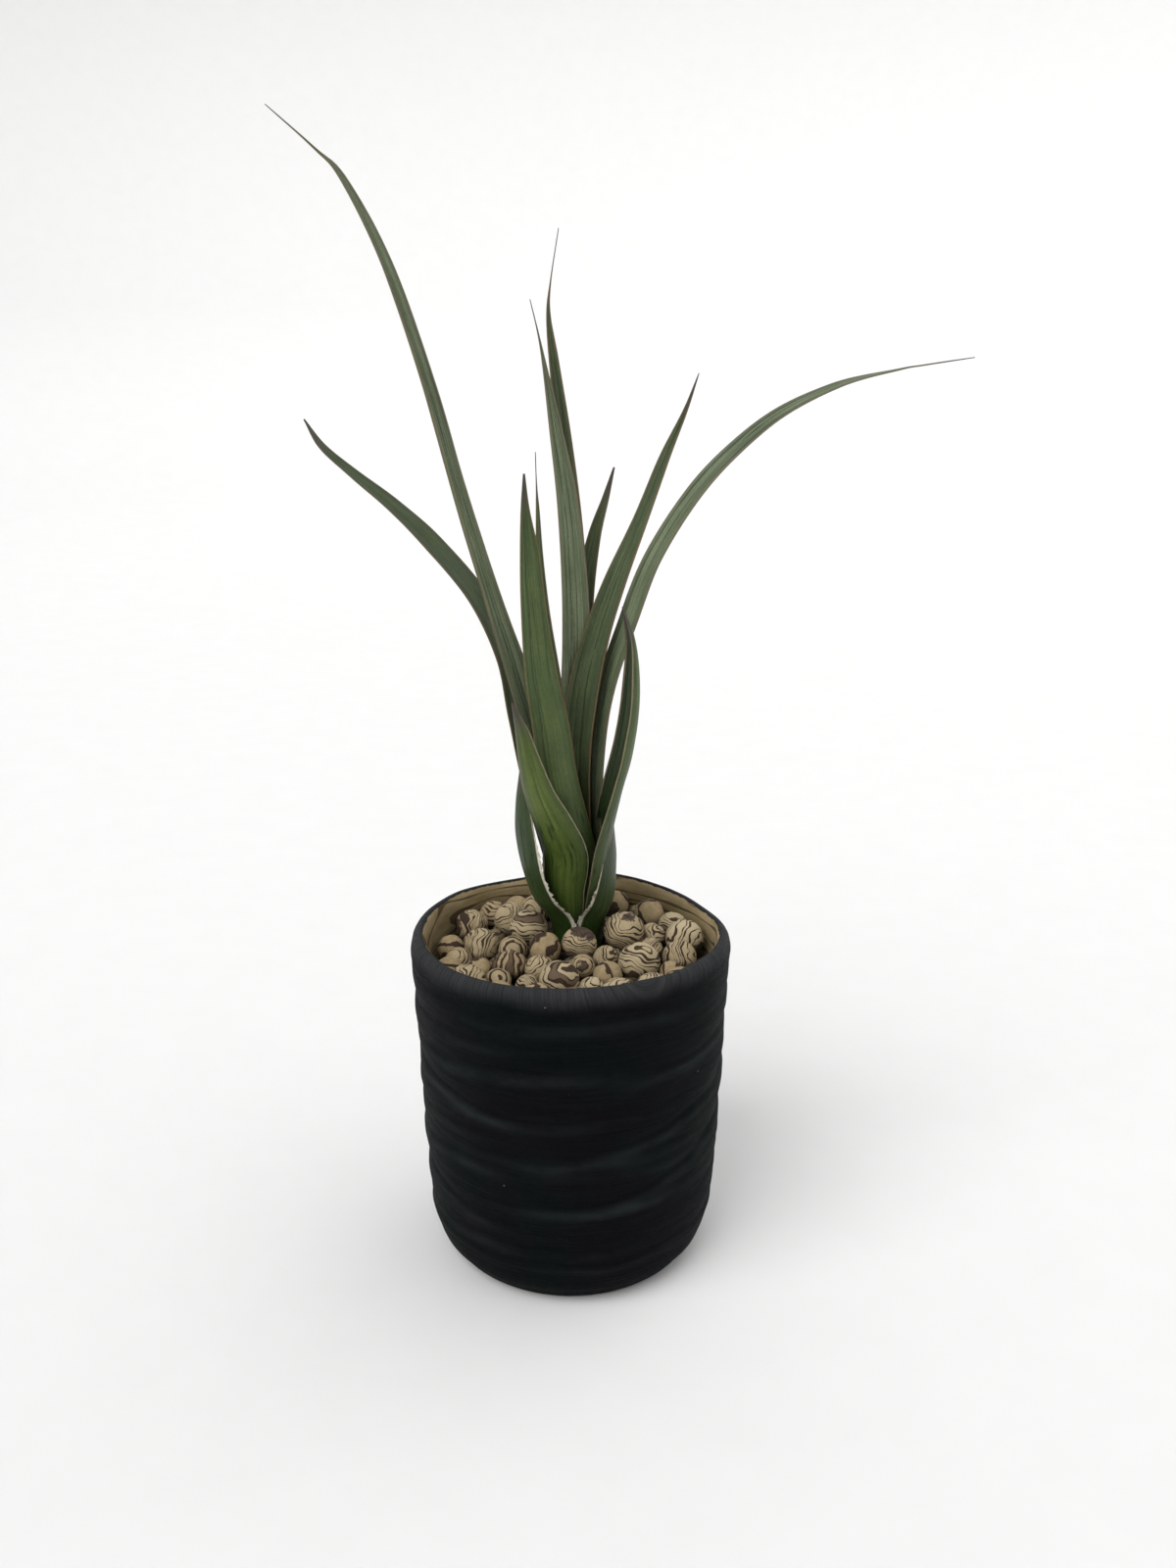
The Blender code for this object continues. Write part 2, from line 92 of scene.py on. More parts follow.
# name: azimuth of the root, tier, angle its sheath wraps, azimuth that the blade's back faces, angle
# the blade is curled through, skin, and the path as (x, y, z, half width) from the shoulder to the tip
LEAVES = {
    "right_sheath": (-20, 0, 128, -24, 50, "sheath_leaf", (
        (12.8, 10, 110, 8.6), (13.1, 9.8, 121, 6.6), (12.9, 9.6, 128, 4.6), (12.8, 9.6, 133, 2.4),
        (12.6, 9.6, 138, 0.3))),
    "left_sheath": (198, 0, 124, 205, 104, "sheath_leaf", (
        (-11.2, 10.0, 110, 8.8), (-14.4, 9.2, 120, 8.2), (-16.2, 9.0, 131, 7.2), (-16.1, 9.6, 141, 4.8),
        (-15.3, 10.3, 149, 2.4), (-14.6, 11, 156, 0.3))),
    "small_front_left": (-117, 1, 80, -110, 100, "fresh_leaf", (
        (-2.8, 3.0, 126, 7.6), (-6.0, 1.2, 136, 6.9), (-9.9, -0.5, 147, 5.2), (-12.2, -2.5, 158, 3.6),
        (-14, -4.5, 168, 2.2), (-16.2, -6.5, 177, 0.3))),
    "small_right": (-22, 1, 110, 20, 184, "folded_leaf", (
        (12.1, 9.6, 128, 7.8), (15.2, 9.4, 145, 5.2), (18.2, 9.1, 157, 4.6), (20, 8.8, 170, 4.2),
        (20.1, 8.2, 182, 3.4), (18.6, 7.4, 193, 2.0), (15.3, 6, 202, 0.3))),
    "short_behind": (74, 1, 62, 80, 50, "grown_leaf", (
        (2.6, 26.5, 145, 5.0), (3, 28, 175, 4.3), (3.8, 29.5, 198, 3.4), (7.0, 31, 217, 2.1),
        (10.5, 32, 229, 1.1), (13, 33, 238, 0.3))),
    "front_centre": (-82, 2, 116, -86, 50, "grown_leaf", (
        (-3.1, 4.5, 148, 6.0), (-5.3, 4, 165, 5.5), (-8.2, 3, 183, 4.7), (-10.1, 2, 203, 3.6),
        (-11, 1.5, 218, 2.7), (-12, 1, 230, 1.3), (-12.2, 0.5, 240, 0.3))),
    "arching_left": (164, 2, 88, 140, 60, "old_leaf", (
        (-13.2, 18.5, 148, 4.6), (-16.8, 20.5, 166, 4.4), (-19.9, 22.5, 183, 4.6), (-27.6, 24, 200, 4.6),
        (-40.8, 26, 216, 4.2), (-52, 27, 227, 3.4), (-63, 28, 236, 2.5), (-72, 29, 244, 1.6),
        (-77, 30, 252, 0.3))),
    "far_right": (20, 2, 58, 38, 60, "pale_leaf", (
        (8.6, 17.4, 128, 3.3), (8.6, 18.4, 152, 3.8), (11.4, 18.8, 174, 4.0), (17.5, 17.4, 194, 4.2),
        (25.2, 15.5, 215, 3.8), (38.8, 14.5, 236, 3.6), (55.8, 13.5, 252.3, 3.2), (74, 12.5, 262, 2.4),
        (91, 11.6, 266.7, 0.9), (97, 11.2, 267.8, 0.35), (111, 10.5, 270, 0.15))),
    "tall_behind": (86, 2, 48, 96, 45, "grown_leaf", (
        (0.8, 24.5, 145, 5.0), (1.3, 25.5, 175, 4.3), (1.5, 26.5, 200, 3.8), (0.6, 27.5, 222, 3.1),
        (-1.5, 29, 245, 2.3), (-4.5, 31, 268, 1.5), (-6, 32.7, 281, 0.65), (-5.3, 33.6, 290, 0.22),
        (-3, 35, 304, 0.12))),
    "centre_tall": (94, 3, 84, 92, 50, "pale_leaf", (
        (0.6, 20.8, 145, 4.0), (1.6, 21.8, 176, 4.3), (1.5, 22.4, 202, 4.0), (-0.5, 23, 228, 3.2),
        (-4, 24, 250, 1.9), (-7, 25.5, 267, 0.7), (-8.8, 26.5, 276, 0.25), (-11, 27.5, 285, 0.12))),
    "tall_left": (174, 3, 68, 124, 70, "pale_leaf", (
        (-9.2, 16.8, 152, 4.4), (-15.4, 16.2, 177, 4.0), (-23.0, 15, 203, 3.0), (-31.4, 14, 233, 2.5),
        (-39.0, 12.5, 263, 2.2), (-48.8, 11, 294, 1.8), (-59, 9.6, 315, 1.1), (-66, 9, 322.5, 0.45),
        (-78, 8, 333, 0.15))),
    "right_broad": (50, 4, 112, 62, 50, "grown_leaf", (
        (2.6, 16.6, 150, 5.0), (4.1, 17.4, 172, 5.2), (8.1, 18.8, 190, 4.5), (13.4, 20.4, 206, 3.7),
        (20.8, 22.5, 224, 2.5), (27.3, 25, 241, 1.8), (33.2, 26.5, 254.5, 0.8), (37, 28, 265, 0.15))),
    "thin_spike": (-100, 4, 100, -84, 60, "pale_leaf", (
        (-1.5, 11, 148, 3.9), (-5, 10.4, 178, 2.8), (-7.2, 9.8, 198, 1.8), (-8.4, 9.4, 215, 1.1),
        (-8.8, 9.1, 228, 0.6), (-9.1, 8.8, 236, 0.2), (-9.3, 8.6, 245, 0.12))),
}

# where a leaf has one lengthwise crease, painted dark as the shade in its fold, from -1 at one margin to 1
# at the other
CREASED = {
    "front_centre": -0.45, "tall_left": 0.30, "far_right": 0.55, "right_broad": -0.20, "centre_tall": 0.35,
    "arching_left": 0.25, "tall_behind": -0.3,
}
NO_CREASE = 5.0

# dry papery edges on the sheaths: leaf, margin, first and last millimetre along it, width
PAPER_EDGES = (
    ("left_sheath", 1, 2, 46, 2.0),
    ("right_sheath", -1, 2, 32, 1.9),
    ("small_front_left", -1, 12, 40, 1.0),
)

CLAY_BALLS = 44
BALL_SWELL = 1.03  # drawn this much larger than its node, so that neighbours touch
LOWER_BALL_TRIES, LOWER_BALL_REACH, LOWER_BALL_HEIGHT = 4000, 38.5, 93.2
PLANT_GIRTH = 11.5
CRUMBS, CRUMB_REACH = 420, 40.5
MIX_EDGE, MIX_RISE = 90.6, 4.0  # height of the mix at the wall, and how much its top is domed


def smoothstep(x, low, high):
    t = min(max((x - low) / (high - low), 0.0), 1.0)
    return t * t * (3 - 2 * t)


def read_off(points, x):
    """Linear reading of y at x from (x, y) points."""
    return float(np.interp(x, [p[0] for p in points], [p[1] for p in points]))


# Mixing finishes from nodes


class Mixer:
    """Adds nodes to one tree. A value is a number, a tuple or another node's output."""

    def __init__(self, tree):
        self.tree = tree

    def node(self, kind, **settings):
        made = self.tree.nodes.new(kind)
        for name, value in settings.items():
            setattr(made, name, value)
        return made

    def feed(self, socket, value):
        if isinstance(value, bpy.types.NodeSocket):
            self.tree.links.new(value, socket)
        elif value is not None:
            socket.default_value = value

    def maths(self, operation, first, second=None, third=None):
        made = self.node("ShaderNodeMath", operation=operation)
        for socket, value in zip(made.inputs, (first, second, third)):
            self.feed(socket, value)
        return made.outputs[0]

    def stretch(self, place, factors, shift=(0, 0, 0)):
        """place times factors plus shift, axis by axis."""
        made = self.node("ShaderNodeVectorMath", operation="MULTIPLY_ADD")
        for socket, value in zip(made.inputs, (place, factors, shift)):
            self.feed(socket, value)
        return made.outputs[0]

    def split(self, place):
        made = self.node("ShaderNodeSeparateXYZ")
        self.feed(made.inputs[0], place)
        return made.outputs

    def join(self, x, y, z):
        made = self.node("ShaderNodeCombineXYZ")
        for socket, value in zip(made.inputs, (x, y, z)):
            self.feed(socket, value)
        return made.outputs[0]

    def noise(self, place, scale, detail=2.0, roughness=0.5):
        made = self.node("ShaderNodeTexNoise")
        self.feed(made.inputs["Vector"], place)
        made.inputs["Scale"].default_value = scale
        made.inputs["Detail"].default_value = detail
        made.inputs["Roughness"].default_value = roughness
        return made.outputs["Fac"]

    def cells(self, place, scale):
        """Distance to the nearest of some scattered points, and a random number for each of them."""
        made = self.node("ShaderNodeTexVoronoi")
        self.feed(made.inputs["Vector"], place)
        made.inputs["Scale"].default_value = scale
        return made.outputs["Distance"], self.split(made.outputs["Color"])[0]

    def ease(self, value, low, high, at_low=0.0, at_high=1.0):
        made = self.node("ShaderNodeMapRange", interpolation_type="SMOOTHSTEP")
        for socket, number in zip(made.inputs, (value, low, high, at_low, at_high)):
            self.feed(socket, number)
        return made.outputs[0]

    def blend(self, amount, first, second):
        """first where amount is 0 and second where it is 1, as colours."""
        made = self.node("ShaderNodeMix", data_type="RGBA")
        self.feed(made.inputs[0], amount)
        for socket, colour in zip(made.inputs[6:8], (first, second)):
            self.feed(socket, (*colour, 1) if isinstance(colour, tuple) else colour)
        return made.outputs[2]

    def attribute(self, name):
        return self.node("ShaderNodeAttribute", attribute_name=name).outputs["Vector"]

    def millimetres(self):
        place = self.node("ShaderNodeTexCoord").outputs["Object"]
        return self.stretch(place, (1 / MM, 1 / MM, 1 / MM))

    def recipe(self, group, **values):
        """A shared effect, with this finish's own values. Returns its outputs by name."""
        made = self.node("ShaderNodeGroup")
        made.node_tree = group
        for name, value in values.items():
            self.feed(made.inputs[name.replace("_", " ").title()], value)
        return made.outputs


def new_finish(name, roughness, specular=0.5):
    """A material with its Principled shader, and the Mixer that feeds it."""
    mat = bpy.data.materials.new(name)
    mat.use_nodes = True
    shader = mat.node_tree.nodes["Principled BSDF"]
    shader.inputs["Roughness"].default_value = roughness
    shader.inputs["Specular IOR Level"].default_value = specular
    return mat, Mixer(mat.node_tree), shader


def relief(mix, shader, height, depth):
    """Bumps of this depth in millimetres where height goes from 0 to 1."""
    bump = mix.node("ShaderNodeBump")
    bump.inputs["Strength"].default_value = 1.0
    bump.inputs["Distance"].default_value = depth * MM
    mix.feed(bump.inputs["Height"], height)
    mix.feed(shader.inputs["Normal"], bump.outputs["Normal"])


def new_group(name, takes, gives):
    """An empty shared effect: (its tree, a Mixer, its inputs by name, its output node)."""
    tree = bpy.data.node_groups.new(name, "ShaderNodeTree")
    for label, kind in takes:
        tree.interface.new_socket(name=label, in_out="INPUT", socket_type="NodeSocket" + kind)
    for label in gives:
        tree.interface.new_socket(name=label, in_out="OUTPUT", socket_type="NodeSocketFloat")
    mix = Mixer(tree)
    inner = mix.node("NodeGroupInput").outputs
    outer = mix.node("NodeGroupOutput").inputs
    return tree, mix, inner, outer


def layered_clay_group():
    """Clays of two colours wedged together: thin wavy lines between layers, and a few dark layers."""
    takes = (("Place", "Vector"), ("Layers", "Float"), ("Waviness", "Float"), ("Dark Share", "Float"))
    tree, mix, inner, outer = new_group("layered_clay", takes, ("Line", "Dark", "Mottle"))
    place = inner["Place"]
    broad = mix.maths("SUBTRACT", mix.noise(place, 0.9, 1.0), 0.5)
    fine = mix.maths("SUBTRACT", mix.noise(place, 3.4, 2.0), 0.5)
    wander = mix.maths("MULTIPLY_ADD", fine, 0.07, mix.maths("MULTIPLY", broad, inner["Waviness"]))
    height = mix.maths("ADD", mix.split(place)[2], wander)
    count = mix.maths("MULTIPLY", height, inner["Layers"])
    uneven = mix.noise(mix.join(count, 0.0, 0.0), 0.8, 1.0)
    count = mix.maths("MULTIPLY_ADD", uneven, 1.6, count)
    within = mix.maths("ABSOLUTE", mix.maths("SUBTRACT", mix.maths("FRACT", count), 0.5))
    width = mix.ease(mix.noise(place, 1.7, 1.0), 0.35, 0.65, 0.045, 0.20)
    edge = mix.maths("SUBTRACT", 0.5, width)
    mix.feed(outer["Line"], mix.ease(within, mix.maths("SUBTRACT", edge, 0.05), edge))
    which = mix.node("ShaderNodeTexWhiteNoise", noise_dimensions="1D")
    mix.feed(which.inputs["W"], mix.maths("FLOOR", count))
    kept = mix.maths("SUBTRACT", 1.0, inner["Dark Share"])
    mix.feed(outer["Dark"], mix.maths("GREATER_THAN", which.outputs["Value"], kept))
    mix.feed(outer["Mottle"], mix.noise(place, 2.6, 4.0, 0.6))
    return tree


def leaf_markings_group():
    """Veins, dark lines, margin, streaks near the foot and the dry tip, from a leaf's own measures.
    Blade is (across, length in mm, face) and Reach is (crease across, mm to the margin, mm to the tip)."""
    takes = (("Blade", "Vector"), ("Reach", "Vector"), ("Seed", "Float"))
    gives = ("Vein", "Crease", "Dark Line", "Mottle", "Margin", "Streak", "Dry Tip", "Foot", "Flank")
    tree, mix, inner, outer = new_group("leaf_markings", takes, gives)
    across, length, face = mix.split(inner["Blade"])
    crease, to_margin, to_tip = mix.split(inner["Reach"])
    side = mix.maths("MULTIPLY_ADD", face, 7.0, inner["Seed"])

    def grain(lateral, lengthwise, scale=1.0, detail=3.0):
        over, up = mix.maths("MULTIPLY", across, lateral), mix.maths("MULTIPLY", length, lengthwise)
        return mix.noise(mix.join(over, up, side), scale, detail, 0.6)

    mix.feed(outer["Vein"], mix.ease(grain(10.0, 0.010, detail=5.0), 0.34, 0.66))
    line = mix.maths("ABSOLUTE", mix.maths("SUBTRACT", grain(3.2, 0.006, detail=1.0), 0.5))
    mix.feed(outer["Dark Line"], mix.ease(line, 0.0, 0.022, 1.0, 0.0))
    drift = mix.maths("MULTIPLY_ADD", mix.maths("SUBTRACT", grain(0.0, 0.05), 0.5), 0.35, across)
    from_crease = mix.maths("ABSOLUTE", mix.maths("SUBTRACT", drift, crease))
    broken = mix.ease(grain(0.0, 0.11), 0.3, 0.5)
    # painted shade along the leaf's crease
    mix.feed(outer["Crease"], mix.maths("MULTIPLY", mix.ease(from_crease, 0.02, 0.075, 1.0, 0.0), broken))
    mix.feed(outer["Mottle"], mix.ease(grain(0.9, 0.06, detail=4.0), 0.25, 0.75))
    wobble = mix.maths("MULTIPLY_ADD", grain(1.0, 0.5, detail=2.0), 0.3, to_margin)
    mix.feed(outer["Margin"], mix.ease(wobble, 0.32, 0.62, 1.0, 0.0))
    rise = mix.ease(length, 24.0, 34.0)
    fall = mix.ease(length, 42.0, 66.0, 1.0, 0.0)
    dark = mix.ease(grain(9.0, 0.14, detail=3.0), 0.53, 0.64)
    mix.feed(outer["Streak"], mix.maths("MULTIPLY", dark, mix.maths("MULTIPLY", rise, fall)))
    tip = mix.maths("MULTIPLY_ADD", grain(2.0, 0.2), 10.0, to_tip)
    mix.feed(outer["Dry Tip"], mix.ease(tip, 8.0, 20.0, 1.0, 0.0))
    # Foot: darker towards the leaf's foot, partly its own colour, partly painted shade low in the rosette
    mix.feed(outer["Foot"], mix.ease(length, 4.0, 72.0, 1.0, 0.0))
    # Flank: darker towards the margins, partly the leaf's own colour, partly painted shade on the curve of
    # the blade
    off_middle = mix.maths("SUBTRACT", across, 0.25)
    outwards = mix.maths("MULTIPLY_ADD", grain(0.6, 0.03, detail=1.0), 0.5, off_middle)
    mix.feed(outer["Flank"], mix.ease(mix.maths("ABSOLUTE", outwards), 0.25, 1.0))
    return tree


def black_stoneware(layered_clay):
    """Outside: black slip, brushed round the wall, its crests lightened by dust and painted highlight.
    Inside: bare marbled clay.
    """
    mat, mix, shader = new_finish("black_stoneware", 0.7, 0.035)
    place = mix.millimetres()
    inside, crest, lip = mix.split(mix.attribute("wall"))
    cloud = mix.noise(place, 0.03, 2.0)
    tint = mix.blend(mix.ease(cloud, 0.38, 0.62), (0.0012, 0.0030, 0.0030), (0.0024, 0.0022, 0.0037))
    brushed = mix.noise(mix.stretch(place, (0.05, 0.05, 1.1)), 1.0, 5.0, 0.7)
    tint = mix.blend(mix.ease(brushed, 0.40, 0.75, 0.0, 0.7), tint, (0.0062, 0.0078, 0.0083))
    patchy = mix.ease(mix.noise(mix.stretch(place, (0.05, 0.05, 0.12)), 1.0, 3.0, 0.6), 0.3, 0.7, 0.35, 1.0)
    # the lit shoulders under the creases are lightened: partly dust, partly painted highlight
    dust_and_highlight = mix.ease(mix.maths("MULTIPLY", crest, patchy), 0.0, 1.0, 0.0, 0.9)
    tint = mix.blend(dust_and_highlight, tint, (0.0150, 0.0190, 0.0190))
    strokes = mix.noise(mix.attribute("strokes"), 1.0, 4.0, 0.7)
    rubbed = mix.maths("MULTIPLY", lip, mix.ease(strokes, 0.3, 0.72, 0.45, 1.0))
    tint = mix.blend(rubbed, tint, (0.0440, 0.0450, 0.0465))
    near, chance = mix.cells(place, 0.16)
    rare = mix.maths("GREATER_THAN", chance, 0.86)
    speck = mix.maths("MULTIPLY", mix.ease(near, 0.03, 0.05, 1.0, 0.0), rare)
    tint = mix.blend(mix.maths("MULTIPLY", speck, 0.7), tint, (0.15, 0.145, 0.12))
    flow = mix.stretch(place, (0.030, 0.030, 0.085))
    clay = mix.recipe(layered_clay, place=flow, layers=3.4, waviness=1.5, dark_share=0.18)
    bare = mix.blend(mix.ease(clay["Mottle"], 0.3, 0.7), (0.230, 0.178, 0.088), (0.340, 0.265, 0.155))
    bare = mix.blend(mix.maths("MULTIPLY", clay["Dark"], 0.6), bare, (0.100, 0.068, 0.038))
    bare = mix.blend(mix.maths("MULTIPLY", clay["Line"], 0.8), bare, (0.045, 0.028, 0.016))
    ragged = mix.maths("MULTIPLY_ADD", mix.noise(place, 0.35, 3.0, 0.6), 0.5, inside)
    is_bare = mix.ease(ragged, 0.78, 0.9)
    mix.feed(shader.inputs["Base Color"], mix.blend(is_bare, tint, bare))
    sand = mix.noise(place, 2.2, 3.0, 0.6)
    mix.feed(shader.inputs["Roughness"], mix.ease(mix.maths("ADD", sand, brushed), 0.7, 1.3, 0.52, 0.75))
    rough = mix.maths("MULTIPLY_ADD", brushed, 1.8, mix.maths("MULTIPLY_ADD", rubbed, -0.6, sand))
    relief(mix, shader, rough, 0.16)
    return mat


def marbled_clay(layered_clay):
    mat, mix, shader = new_finish("marbled_clay", 0.8, 0.3)
    place = mix.attribute("clay")
    layers, dark_share, waviness = mix.split(mix.attribute("recipe"))
    pallor, cap, painted_shade = mix.split(mix.attribute("tone"))
    clay = mix.recipe(layered_clay, place=place, layers=layers, waviness=waviness, dark_share=dark_share)
    warm = mix.blend(mix.ease(clay["Mottle"], 0.3, 0.7), (0.215, 0.150, 0.072), (0.330, 0.242, 0.130))
    tone = mix.blend(pallor, warm, (0.440, 0.360, 0.225))
    tone = mix.blend(mix.maths("MULTIPLY", clay["Dark"], 0.88), tone, (0.085, 0.052, 0.032))
    tone = mix.blend(mix.maths("MULTIPLY", clay["Line"], 0.97), tone, (0.030, 0.015, 0.008))
    torn = mix.maths("MULTIPLY_ADD", mix.maths("SUBTRACT", clay["Mottle"], 0.5), 0.7, cap)
    tone = mix.blend(mix.ease(torn, 0.0, 0.05, 0.0, 0.92), tone, (0.042, 0.026, 0.020))
    near, chance = mix.cells(place, 4.5)
    rare = mix.maths("GREATER_THAN", chance, 0.8)
    pit = mix.maths("MULTIPLY", mix.ease(near, 0.08, 0.16, 1.0, 0.0), rare)
    tone = mix.blend(mix.maths("MULTIPLY", pit, 0.8), tone, (0.050, 0.030, 0.020))
    # painted shade: darker on each ball's underside and over the whole lower layer
    tone = mix.blend(mix.maths("MULTIPLY", painted_shade, 0.8), tone, (0.050, 0.034, 0.020))
    mix.feed(shader.inputs["Base Color"], tone)
    sand = mix.noise(place, 14.0, 3.0, 0.6)
    grooves = mix.maths("MULTIPLY", clay["Line"], 0.45)
    height = mix.maths("SUBTRACT", mix.maths("MULTIPLY", sand, 0.35), grooves)
    height = mix.maths("SUBTRACT", height, pit)
    mix.feed(shader.inputs["Roughness"], mix.ease(sand, 0.3, 0.7, 0.72, 0.9))
    relief(mix, shader, height, 0.18)
    return mat


def leaf_skin(name, markings, back, front, margin, seed, roughness, flank=0.5):
    """back and front are (deep, fresh) colours of the leaf's two faces, and flank is how far they
    darken towards the margins."""
    mat, mix, shader = new_finish(name, roughness, 0.4)
    blade = mix.attribute("blade")
    marks = mix.recipe(markings, blade=blade, reach=mix.attribute("reach"), seed=seed)
    facing_in = mix.ease(mix.split(blade)[2], 0.4, 0.6)
    outer = mix.blend(marks["Mottle"], *back)
    inner = mix.blend(marks["Mottle"], *front)
    skin = mix.blend(facing_in, outer, inner)
    shade = mix.blend(facing_in, *(tuple(0.45 * c for c in pair[0]) for pair in (back, front)))
    # flank darkening: partly the leaf's own colour, partly painted shade
    skin = mix.blend(mix.maths("MULTIPLY", marks["Flank"], flank), skin, shade)
    skin = mix.blend(mix.maths("MULTIPLY", marks["Vein"], 0.5), skin, shade)
    speckle = mix.ease(mix.noise(mix.millimetres(), 1.3, 4.0, 0.7), 0.35, 0.75, 0.0, 0.35)
    skin = mix.blend(speckle, skin, shade)
    line_strength = mix.ease(mix.split(blade)[2], 0.4, 0.6, 0.5, 0.8)
    skin = mix.blend(mix.maths("MULTIPLY", marks["Dark Line"], line_strength), skin, (0.018, 0.028, 0.014))
    # painted shade in the crease
    skin = mix.blend(mix.maths("MULTIPLY", marks["Crease"], 0.75), skin, (0.020, 0.031, 0.014))
    # darker at the foot: partly the leaf's own colour, partly painted shade
    skin = mix.blend(mix.maths("MULTIPLY", marks["Foot"], 0.7), skin, (0.022, 0.044, 0.013))
    skin = mix.blend(mix.maths("MULTIPLY", marks["Streak"], 0.85), skin, (0.009, 0.015, 0.007))
    skin = mix.blend(mix.maths("MULTIPLY", marks["Margin"], 0.9), skin, margin)
    skin = mix.blend(mix.maths("MULTIPLY", marks["Dry Tip"], 0.9), skin, (0.085, 0.072, 0.058))
    deeper = mix.node("ShaderNodeHueSaturation")
    deeper.inputs["Saturation"].default_value = 1.16
    deeper.inputs["Value"].default_value = 0.96
    mix.feed(deeper.inputs["Color"], skin)
    mix.feed(shader.inputs["Base Color"], deeper.outputs["Color"])
    sheen = mix.ease(marks["Vein"], 0.0, 1.0, roughness - 0.06, roughness + 0.08)
    mix.feed(shader.inputs["Roughness"], sheen)
    pores = mix.noise(mix.millimetres(), 2.4, 2.0)
    height = mix.maths("MULTIPLY_ADD", pores, 0.25, mix.maths("MULTIPLY", marks["Vein"], -0.7))
    sunk = mix.maths("MAXIMUM", marks["Dark Line"], marks["Crease"])
    height = mix.maths("MULTIPLY_ADD", sunk, -1.0, height)
    relief(mix, shader, height, 0.13)
    return mat


def papery_skin():
    """Thin dead tissue at the edge of a sheath."""
    mat, mix, shader = new_finish("papery_edge", 0.75, 0.3)
    place = mix.millimetres()
    fibres = mix.noise(mix.stretch(place, (1.6, 1.6, 0.35)), 1.0, 4.0, 0.65)
    tone = mix.blend(mix.ease(fibres, 0.3, 0.7), (0.420, 0.370, 0.270), (0.800, 0.780, 0.690))
    brown = mix.ease(mix.noise(place, 0.45, 3.0), 0.56, 0.68)
    tone = mix.blend(mix.maths("MULTIPLY", brown, 0.6), tone, (0.130, 0.085, 0.045))
    mix.feed(shader.inputs["Base Color"], tone)
    relief(mix, shader, fibres, 0.15)
    return mat


def potting_mix_finish():
    mat, mix, shader = new_finish("potting_mix_crumb", 0.95, 0.2)
    place = mix.millimetres()
    near, chance = mix.cells(place, 0.9)
    tone = mix.blend(chance, (0.022, 0.014, 0.009), (0.075, 0.050, 0.032))
    bark = mix.ease(mix.noise(place, 0.5, 4.0, 0.65), 0.55, 0.7)
    mix.feed(shader.inputs["Base Color"], mix.blend(bark, tone, (0.120, 0.080, 0.048)))
    relief(mix, shader, mix.maths("SUBTRACT", mix.noise(place, 1.6, 4.0), near), 0.8)
    return mat


def crown_finish():
    mat, mix, shader = new_finish("rhizome_skin", 0.7, 0.3)
    place = mix.millimetres()
    rings = mix.noise(mix.stretch(place, (0.1, 0.1, 0.9)), 1.0, 4.0, 0.6)
    tone = mix.blend(mix.ease(rings, 0.35, 0.65), (0.170, 0.120, 0.060), (0.360, 0.290, 0.165))
    mix.feed(shader.inputs["Base Color"], mix.blend(mix.noise(place, 0.4, 3.0), tone, (0.24, 0.18, 0.10)))
    relief(mix, shader, rings, 0.4)
    return mat


def studio_paper():
    mat, mix, shader = new_finish("studio_paper", 0.9, 0.2)
    fibre = mix.noise(mix.millimetres(), 0.05, 3.0)
    mix.feed(shader.inputs["Base Color"], mix.blend(fibre, (0.80, 0.80, 0.795), (0.83, 0.83, 0.825)))
    return mat


# Pieces


def keep_piece(name, bm, finishes, slot, *nodes):
    """Turns a mesh drawn in millimetres into a smooth piece that stands for these nodes."""
    bmesh.ops.scale(bm, vec=(MM, MM, MM), verts=bm.verts)
    mesh = bpy.data.meshes.new(name)
    bm.to_mesh(mesh)
    bm.free()
    mesh.shade_smooth()
    for finish in finishes:
        mesh.materials.append(finish)
    piece = bpy.data.objects.new(name, mesh)
    bpy.context.scene.collection.objects.link(piece)
    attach(piece, "root")
    if nodes:
        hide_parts(*nodes)
    return piece


# Pot


def pressed_wall(angle, z):
    """How far the wall stands out here, and how much this is the lit shoulder under a crease.
    Above a crease the wall draws in slowly; below it the next roll of clay starts sharply."""
    stands_out, shoulder = 0.0, 0.0
    azimuth = degrees(angle)
    around = Vector((2.2 * cos(angle), 2.2 * sin(angle), 0.0))
    for height, middle, spread, rise, depth in CREASES:
        away = ((azimuth - middle + 180) % 360 - 180) / spread
        if abs(away) > 2.2:
            continue
        strength = depth * exp(-(away**2))
        line = height + rise * away + 1.4 * lumps.noise(around + Vector((0, 0, height)))
        above = z - line
        reach = 4.6 if above > 0 else 2.0
        stands_out -= strength * exp(-((above * above + 0.12) ** 0.5) / reach)
        shoulder += strength * exp(-(((above + 2.8) / 2.0) ** 2))
    waves = 0.45 * lumps.noise(around + Vector((3, 5, z / 9)))
    fine = 0.10 * lumps.noise(2.6 * around + Vector((9, 5, z / 2.2)))
    return (1.3 * stands_out + 0.75 + waves + fine) * smoothstep(z, 2, 10), shoulder


def out_of_round(angle, z):
    squeeze = smoothstep(z, 30, POT_TOP) * (0.35 * sin(2 * angle + 0.6) + 0.3 * sin(3 * angle + 1.9))
    return squeeze + 0.25 * lumps.noise(Vector((1.5 * cos(angle), 1.5 * sin(angle), z / 30 + 3)))


def rim_dip(azimuth):
    dip = 0.0
    for centre, spread, depth in RIM_DIPS:
        away = (azimuth - centre + 180) % 360 - 180
        dip += depth * exp(-((away / spread) ** 2))
    return dip


def in_steps(points, step):
    """The same line with points added so that none are further apart than step."""
    line = [points[0]]
    for first, second in zip(points, points[1:]):
        first, second = Vector(first), Vector(second)
        pieces = max(1, round((second - first).length / step))
        line += [tuple(first.lerp(second, i / pieces)) for i in range(1, pieces + 1)]
    return line


